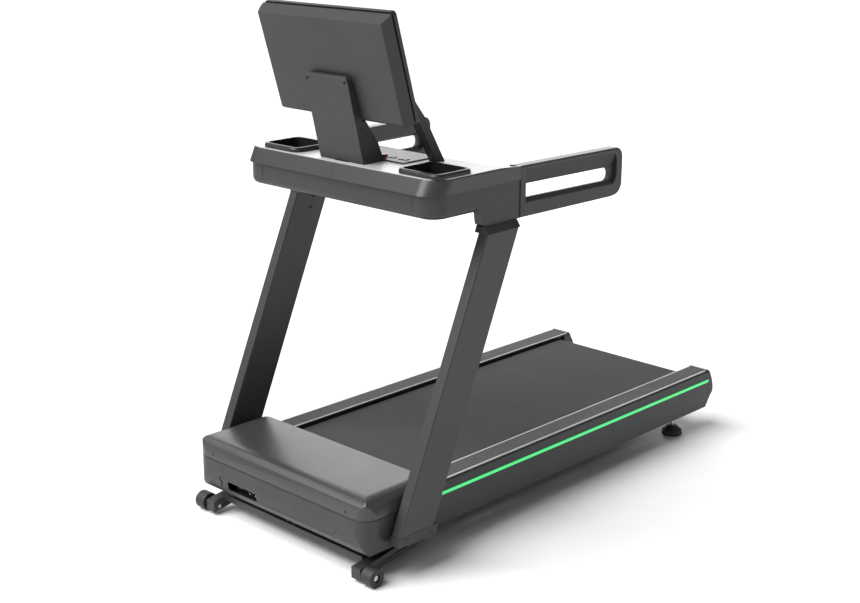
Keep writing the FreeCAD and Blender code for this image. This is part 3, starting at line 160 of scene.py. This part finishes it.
def glow(name, color, strength):
    """A translucent light strip: a lit diffuser with a faint ripple along it."""
    made = surface(name, color, 0.35, "powder", 300.0, 0.02, 0.05)
    shader = made.node_tree.nodes["Principled BSDF"]
    shader.inputs["Emission Color"].default_value = (*color, 1.0)
    shader.inputs["Emission Strength"].default_value = strength
    return made


def glass(name):
    made = surface(name, (0.02, 0.021, 0.023), 0.06, "powder", 40.0, 0.004, 0.05)
    shader = made.node_tree.nodes["Principled BSDF"]
    shader.inputs["Alpha"].default_value = 0.42
    return made


LOOKS = {
    "cover_plastic": surface("CoverPlastic", (0.020, 0.021, 0.022), 0.46, "powder", 900, 0.012),
    "light_strip": glow("LightStrip", (0.06, 0.72, 0.20), 0.62),
    "mat_rubber": surface("MatRubber", (0.030, 0.031, 0.033), 0.60, "ribs", 52.0, 0.4),
    "trim_plastic": surface("TrimPlastic", (0.42, 0.425, 0.43), 0.42, "powder", 900, 0.008),
    "cap_plastic": surface("CapPlastic", (0.022, 0.023, 0.024), 0.45, "powder", 900, 0.012),
    "frame_paint": surface("FramePaint", (0.026, 0.026, 0.028), 0.42, "powder", 900.0, 0.02),
    "deck_wood": surface("DeckWood", (0.15, 0.10, 0.06), 0.6, "brushed", 500.0, 0.1, 0.25),
    "cushion_rubber": surface("CushionRubber", (0.03, 0.03, 0.03), 0.7, "powder", 600.0, 0.05),
    "belt_rubber": surface("BeltRubber", (0.034, 0.035, 0.036), 0.70, "diamond", 180.0, 0.10,
                           mottle=0.06, patch=3.0, specular=0.30),
    "steel": surface("TurnedSteel", (0.55, 0.55, 0.56), 0.30, "brushed", 900.0, 0.02,
                     metallic=1.0),
    "screw_black": surface("BlackOxide", (0.008, 0.008, 0.008), 0.42, "powder", 900.0, 0.01,
                           metallic=0.3),
    "hood_plastic": surface("HoodPlastic", (0.038, 0.039, 0.041), 0.36, "powder", 1200, 0.004,
                            mottle=0.06, patch=2.5, coat=0.12),
    "hood_base_plastic": surface("HoodBasePlastic", (0.026, 0.027, 0.028), 0.44, "powder", 900,
                                 0.010),
    "inlet_plastic": surface("InletPlastic", (0.010, 0.010, 0.011), 0.3, "powder", 900, 0.006),
    "rocker_plastic": surface("RockerPlastic", (0.014, 0.014, 0.014), 0.25, "powder", 900, 0.006),
    "motor_paint": surface("MotorPaint", (0.022, 0.022, 0.023), 0.35, "powder", 700.0, 0.03),
    "drive_rubber": surface("DriveRubber", (0.02, 0.02, 0.02), 0.7, "ribs", 260.0, 0.4),
    "controller_aluminium": surface("ControllerAluminium", (0.6, 0.6, 0.61), 0.4, "brushed",
                                    700.0, 0.03, metallic=1.0),
    "post_paint": surface("PostPaint", (0.030, 0.031, 0.033), 0.42, "powder", 1300.0, 0.012,
                          mottle=0.05, patch=3.0),
    "console_plastic": surface("ConsolePlastic", (0.026, 0.027, 0.029), 0.46, "powder", 900,
                               0.010),
    "console_top_plastic": surface("ConsoleTopPlastic", (0.032, 0.033, 0.035), 0.36, "powder",
                                   1200, 0.004, mottle=0.05, coat=0.12),
    # painted highlight: a much lighter grey for the console's upward faces, standing in for the
    # bright reflection on its top
    "console_top_painted_highlight": surface("ConsoleTopPaintedHighlight", (0.46, 0.465, 0.475), 0.38, "powder", 1200, 0.004,
                              mottle=0.04, patch=3.0, coat=0.1),
    "arm_plastic": surface("ArmPlastic", (0.030, 0.031, 0.033), 0.44, "powder", 900, 0.010),
    # painted highlight: a lighter grey for the arms' top faces
    "arm_top_painted_highlight": surface("ArmTopPaintedHighlight", (0.21, 0.213, 0.22), 0.42, "powder", 1100, 0.006,
                          mottle=0.05, patch=4.0),
    # painted shade: near-black for the arms' faces that turn down and outward under the grip
    "arm_underside_painted_shade": surface("ArmUndersidePaintedShade", (0.012, 0.012, 0.013), 0.5, "moulded", 900, 0.03),
    "cup_plastic": surface("CupPlastic", (0.012, 0.012, 0.013), 0.36, "powder", 900, 0.010),
    "panel_plastic": surface("PanelPlastic", (0.010, 0.010, 0.011), 0.36, "powder", 900, 0.006),
    "key_plastic": surface("KeyPlastic", (0.30, 0.31, 0.32), 0.38, "powder", 900, 0.006),
    "mark_paint": surface("MarkPaint", (0.02, 0.02, 0.022), 0.5, "powder", 900, 0.004),
    "stop_plastic": surface("StopPlastic", (0.30, 0.012, 0.010), 0.34, "powder", 900, 0.006),
    "mast_plastic": surface("MastPlastic", (0.024, 0.025, 0.026), 0.46, "powder", 900, 0.010),
    "screen_plastic": surface("ScreenPlastic", (0.026, 0.027, 0.028), 0.50, "powder", 900,
                              0.010),
    "bezel_plastic": surface("BezelPlastic", (0.014, 0.014, 0.015), 0.34, "powder", 900, 0.006),
    "screen_glass": glass("ScreenGlass"),
    "tile_dark": glow("TileDark", (0.02, 0.03, 0.045), 0.6),
    "tile_blue": glow("TileBlue", (0.05, 0.26, 0.46), 0.7),
    "tile_pale": glow("TilePale", (0.62, 0.68, 0.72), 0.6),
    "tile_green": glow("TileGreen", (0.08, 0.42, 0.20), 0.7),
    "grip_plastic": surface("GripPlastic", (0.022, 0.022, 0.024), 0.50, "moulded", 700.0, 0.05),
    "pulse_steel": surface("PulseSteel", (0.62, 0.62, 0.63), 0.24, "brushed", 1200.0, 0.015,
                           metallic=1.0),
    "wheel_rubber": surface("WheelRubber", (0.022, 0.022, 0.023), 0.55, "powder", 500.0, 0.03),
    "foot_rubber": surface("FootRubber", (0.028, 0.028, 0.028), 0.66, "powder", 500.0, 0.05),
}

slot_of = {}
for entry in frame["record"]["subparts"]:
    slot_of[entry["node"]] = entry["material_slot"]


# --------------------------------------------------------- carried-over nodes
def soften(obj, width, angle=35.0):
    """Close the mesh's seams, round its hard edges and shade it smoothly."""
    weld = obj.modifiers.new("Weld", "WELD")
    weld.merge_threshold = WELD_GAP
    rounding = obj.modifiers.new("Bevel", "BEVEL")
    rounding.width = width
    rounding.segments = 2
    rounding.limit_method = "ANGLE"
    rounding.angle_limit = math.radians(angle)
    rounding.use_clamp_overlap = True
    even = obj.modifiers.new("EvenNormals", "WEIGHTED_NORMAL")
    even.mode = "FACE_AREA"
    even.weight = 80
    even.keep_sharp = True


EDGE = {"side_covers": 1.5, "end_caps": 2.0, "hood_upper": 2.0, "hood_lower": 2.0,
        "console_base": 3.0, "console_top_l": 1.5, "console_top_r": 1.5, "cup_holders": 1.5,
        "arm_l": 2.5, "arm_r": 2.5, "mast_front": 2.5, "mast_back": 3.0, "display_back": 2.0,
        "display_bezel": 1.5, "grip_bar": 3.0, "foot_covers": 1.5, "collars": 2.0,
        "lift_frame": 2.0, "front_frame": 1.5, "main_frame": 1.5, "lift_plugs": 1.0,
        "wheel_l": 2.0, "wheel_r": 2.0, "emergency_stop": 1.5}

for name, obj in nodes.items():
    obj.data.materials.clear()
    obj.data.materials.append(LOOKS[slot_of[name]])
    obj.data.shade_smooth()
    soften(obj, EDGE.get(name, 0.6) * MM)


def paint_faces(name, look, chosen):
    """Give the faces of a carried-over node that pass a test a second colour; used for painted
    highlight and painted shade.
    """
    mesh = nodes[name].data
    mesh.materials.append(LOOKS[look])
    index = len(mesh.materials) - 1
    for face in mesh.polygons:
        if chosen(face.normal, face.center):
            face.material_index = index


# console tops: faces turned upward get the lighter grey, a painted highlight
for name in ("console_top_l", "console_top_r"):
    paint_faces(name, "console_top_painted_highlight", lambda normal, centre: normal.z > 0.8)
for name in ("arm_l", "arm_r"):
    # arm tops: upward faces high on the arm get the lighter grey, a painted highlight
    paint_faces(name, "arm_top_painted_highlight", lambda normal, centre: normal.z > 0.85
                and centre.z > 1.19)
    # arm faces turned down and outward get the near-black, a painted shade
    paint_faces(name, "arm_underside_painted_shade", lambda normal, centre: normal.z < -0.12
                and abs(normal.x) > 0.5)


# --------------------------------------------------------------------- pieces
def finish_piece(name, shape, look, body="chassis"):
    obj = bpy.data.objects.new(name, shape)
    scene.collection.objects.link(obj)
    obj.data.materials.append(LOOKS[look])
    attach(obj, body)
    return obj


def line_piece(name, points, radius, look, closed=False, body="chassis"):
    """A thin bead or seam along a line of points, in metres."""
    curve = bpy.data.curves.new(name, "CURVE")
    curve.dimensions = "3D"
    curve.bevel_depth = radius
    curve.bevel_resolution = 2
    spline = curve.splines.new("POLY")
    spline.points.add(len(points) - 1)
    for point, where in zip(spline.points, points):
        point.co = (*where, 1.0)
    spline.use_cyclic_u = closed
    return finish_piece(name, curve, look, body)


def plate_piece(name, outline, thickness, look, body="chassis", place=None, edge=0.0004):
    """A flat plate with softened edges: outline in its own x, y, moved by a matrix."""
    shape = bmesh.new()
    low = [shape.verts.new((x, y, 0)) for x, y in outline]
    face = shape.faces.new(low)
    grown = bmesh.ops.extrude_face_region(shape, geom=[face])
    raised = [v for v in grown["geom"] if isinstance(v, bmesh.types.BMVert)]
    bmesh.ops.translate(shape, verts=raised, vec=(0, 0, thickness))
    bmesh.ops.recalc_face_normals(shape, faces=shape.faces)
    bmesh.ops.bevel(shape, geom=list(shape.edges), offset=edge, segments=2,
                    affect="EDGES", profile=0.6)
    if place is not None:
        shape.transform(place)
    mesh = bpy.data.meshes.new(name)
    shape.to_mesh(mesh)
    shape.free()
    return finish_piece(name, mesh, look, body)


def laid(node, corners, direction, step=0.012, lift=0.0, closed=False):
    """A line through the corners, dropped along a direction onto a node's surface."""
    mesh = nodes[node].data
    tree = BVHTree.FromPolygons([v.co for v in mesh.vertices],
                                [face.vertices[:] for face in mesh.polygons])
    ends = [Vector(corner) for corner in corners]
    if closed:
        ends.append(ends[0])
    along = []
    for start, end in zip(ends, ends[1:]):
        count = max(1, int((end - start).length / step))
        along += [start.lerp(end, k / count) for k in range(count)]
    if not closed:
        along.append(ends[-1])
    found = []
    for point in along:
        hit, normal, _, _ = tree.ray_cast(point, Vector(direction))
        if hit is not None:
            found.append(hit + normal * lift)
    return found


def circle_points(centre, radius, across, up, count=40):
    turn = [2 * math.pi * k / count for k in range(count)]
    return [Vector(centre) + Vector(across) * (radius * math.cos(a))
            + Vector(up) * (radius * math.sin(a)) for a in turn]


def middle_of(node):
    low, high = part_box(node)
    return (Vector(low) + Vector(high)) / 2


def rounded(half_x, half_y, radius, count=5):
    """The outline of a plate with rounded corners, about the origin."""
    points = []
    for k, (sx, sy) in enumerate(((1, 1), (-1, 1), (-1, -1), (1, -1))):
        for j in range(count + 1):
            angle = math.pi / 2 * (k + j / count)
            points.append((sx * (half_x - radius) + radius * math.cos(angle),
                           sy * (half_y - radius) + radius * math.sin(angle)))
    return points


# hood: raised outline on the lower half's front, and the pull recess beside the inlet
line_piece("HoodEmboss", laid("hood_lower", [
    (-0.318, AHEAD, 0.142), (-0.288, AHEAD, 0.163), (-0.262, AHEAD, 0.128), (0.060, AHEAD, 0.128)],
    TOWARDS_REAR), 0.0009, "hood_base_plastic")
line_piece("HoodSeamBead", laid("hood_lower", [
    (-0.372, AHEAD, 0.2125), (0.372, AHEAD, 0.2125)], TOWARDS_REAR), 0.0007, "screw_black")
line_piece("HoodPullFar", laid("hood_lower", [
    (0.372, AHEAD, 0.120), (0.348, AHEAD, 0.126), (0.330, AHEAD, 0.141), (0.312, AHEAD, 0.157),
    (0.300, AHEAD, 0.160)], TOWARDS_REAR), 0.0009, "hood_base_plastic")
line_piece("HoodPullNear", laid("hood_lower", [
    (0.300, AHEAD, 0.160), (0.294, AHEAD, 0.145), (0.294, AHEAD, 0.132), (0.302, AHEAD, 0.118)],
    TOWARDS_REAR), 0.0022, "screw_black")

# power inlet: three pins inside the socket
inlet_low, inlet_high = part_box("power_inlet")
for k, x in enumerate((0.128, 0.142, 0.156)):
    z = (inlet_low[2] + inlet_high[2]) / 2 + (0.004 if k == 1 else -0.003)
    pin = Matrix.Translation((x, inlet_high[1] - 0.0002, z)) @ Matrix.Rotation(
        math.radians(-90), 4, "X")
    plate_piece("InletPin%d" % k, rounded(0.0011, 0.0030, 0.0008), 0.0060, "steel", place=pin,
                edge=0.0002)

# bolts on the uprights' inner faces, below the console
for side, sign in (("Left", -1), ("Right", 1)):
    bolt_x = sign * 0.4268
    turn = Matrix.Rotation(math.radians(-90 * sign), 4, "Y")
    for k, (y, z) in enumerate(((0.406, 0.986), (0.392, 1.024))):
        plate_piece("PostBolt%s%d" % (side, k),
                    [(c.x, c.y) for c in circle_points((0, 0, 0), 0.0065, (1, 0, 0),
                                                       (0, 1, 0), 24)],
                    0.0024, "screw_black", place=Matrix.Translation((bolt_x, y, z)) @ turn)

# console: seams down the base near its corners
for side, sign in (("Left", -1), ("Right", 1)):
    line_piece("BaseSeam" + side, laid("console_base", [
        (sign * 0.352, AHEAD, 1.185), (sign * 0.352, AHEAD, 1.092)], TOWARDS_REAR),
        0.0007, "screw_black")

# key marks, one per key, moving with it
MARKS = {
    "key_incline_down": [(-4, 3), (4, 3), (0, -4)],
    "key_incline_up": [(-4, -3), (4, -3), (0, 4)],
    "key_stop": [(-3.4, -3.4), (3.4, -3.4), (3.4, 3.4), (-3.4, 3.4)],
    "key_start": [(-3, -4), (4, 0), (-3, 4)],
    "key_speed_down": [(-4, -1), (4, -1), (4, 1), (-4, 1)],
    "key_speed_up": [(-4, -1), (-1, -1), (-1, -4), (1, -4), (1, -1), (4, -1), (4, 1), (1, 1),
                     (1, 4), (-1, 4), (-1, 1), (-4, 1)],
}
for key, outline in MARKS.items():
    centre = middle_of(key)
    place = Matrix.Translation((centre.x, centre.y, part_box(key)[1][2] - 0.0001))
    plate_piece("Mark_" + key, [(x * MM, y * MM) for x, y in outline], 0.0003, "mark_paint",
                key, place, 0.00004)

# a light ring round the emergency stop, and a bead round the key panel
stop = middle_of("emergency_stop")
panel_low, panel_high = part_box("key_panel")
line_piece("StopRing", circle_points((stop.x, stop.y, panel_high[2] + 0.0002), 0.0160,
                                    (1, 0, 0), (0, 1, 0)),
           0.0006, "key_plastic", closed=True)
line_piece("PanelBead", [(panel_low[0], panel_low[1], panel_high[2]),
                         (panel_high[0], panel_low[1], panel_high[2]),
                         (panel_high[0], panel_high[1], panel_high[2]),
                         (panel_low[0], panel_high[1], panel_high[2])],
           0.0007, "trim_plastic", closed=True)

# display: a plain layout of tiles behind the glass
lean = Matrix.Translation(DISPLAY_FOOT) @ Matrix.Rotation(-DISPLAY_LEAN, 4, "X")
upright_face = Matrix.Rotation(math.radians(90), 4, "X")
TILES = [("Head", 0, 298, 244, 9, "tile_dark"), ("Clock", 196, 298, 30, 4, "tile_pale"),
         ("Map", -86, 196, 156, 82, "tile_blue"), ("StatA", 158, 246, 76, 30, "tile_dark"),
         ("StatB", 158, 176, 76, 30, "tile_dark"), ("StatC", 158, 106, 76, 22, "tile_green"),
         ("Foot", 0, 52, 244, 14, "tile_dark"), ("BarA", 158, 252, 44, 4, "tile_pale"),
         ("BarB", 158, 182, 44, 4, "tile_pale"), ("Go", 0, 52, 40, 6, "tile_green")]
for label, x, z, half_x, half_z, look in TILES:
    depth = RAISED_TILE_DEPTH if label in RAISED_TILES else TILE_DEPTH
    place = lean @ Matrix.Translation((x * MM, depth, z * MM)) @ upright_face
    plate_piece("Tile" + label, rounded(half_x * MM, half_z * MM, min(4, half_z * 0.4) * MM),
                0.0003, look, place=place, edge=0.00004)

# wheels: two raised rings on each outer face
for node, body, sign in (("wheel_l", "wheel_left", -1), ("wheel_r", "wheel_right", 1)):
    wheel_low, wheel_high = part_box(node)
    middle = middle_of(node)
    face_x = wheel_low[0] if sign < 0 else wheel_high[0]
    for k, radius in enumerate((0.0135, 0.0235)):
        line_piece("WheelRing%s%d" % (body[6:].title(), k),
                   circle_points((face_x, middle.y, middle.z), radius, (0, 1, 0), (0, 0, 1)),
                   0.0007, "wheel_rubber", True, body)


# ---------------------------------------------------------------------- stage
floor_shape = bmesh.new()
bmesh.ops.create_grid(floor_shape, x_segments=1, y_segments=1, size=FLOOR_HALF)
floor_mesh = bpy.data.meshes.new("StudioFloor")
floor_shape.to_mesh(floor_mesh)
floor_shape.free()
floor = bpy.data.objects.new("StudioFloor", floor_mesh)
floor.location.z = -FLOOR_DROP
scene.collection.objects.link(floor)
floor_look = surface("FloorPaint", (0.86, 0.86, 0.87), 0.7, "powder", 30.0, 0.05, 0.01)
floor.data.materials.append(floor_look)

world = bpy.data.worlds.new("Studio")
world.use_nodes = True
world.node_tree.nodes["Background"].inputs["Color"].default_value = (0.97, 0.975, 0.98, 1.0)
world.node_tree.nodes["Background"].inputs["Strength"].default_value = WORLD_STRENGTH
scene.world = world


def aim(obj, where, towards):
    obj.location = where
    direction = Vector(towards) - Vector(where)
    obj.rotation_euler = direction.to_track_quat("-Z", "Y").to_euler()
    obj.visible_camera = False
    scene.collection.objects.link(obj)


def soft_light(name, where, towards, size, power):
    data = bpy.data.lights.new(name, "AREA")
    data.shape = "RECTANGLE"
    data.size, data.size_y = size
    data.energy = power
    aim(bpy.data.objects.new(name, data), where, towards)


sky_data = bpy.data.lights.new("OverheadLight", "SUN")
sky_data.energy = SUN_STRENGTH
sky_data.angle = SUN_SPREAD
aim(bpy.data.objects.new("OverheadLight", sky_data), (1.6, 3.6, 5.0), (0, 0, 0))
soft_light("RearSoftbox", (4.4, -4.5, 2.9), (0, 0, 0.7), (5.5, 2.6), REAR_WATTS)

# ------------------------------------------------------------------- camera
camera_data = bpy.data.cameras.new("Camera")
camera_data.lens = LENS_MM
camera_data.sensor_width = SENSOR_MM
camera = bpy.data.objects.new("Camera", camera_data)
camera.location = CAMERA_PLACE
sight = Vector((math.sin(CAMERA_AROUND) * math.cos(CAMERA_DOWN),
                -math.cos(CAMERA_AROUND) * math.cos(CAMERA_DOWN), -math.sin(CAMERA_DOWN)))
camera.rotation_euler = sight.to_track_quat("-Z", "Y").to_euler()
scene.collection.objects.link(camera)
scene.camera = camera
scene.view_settings.view_transform = "Standard"
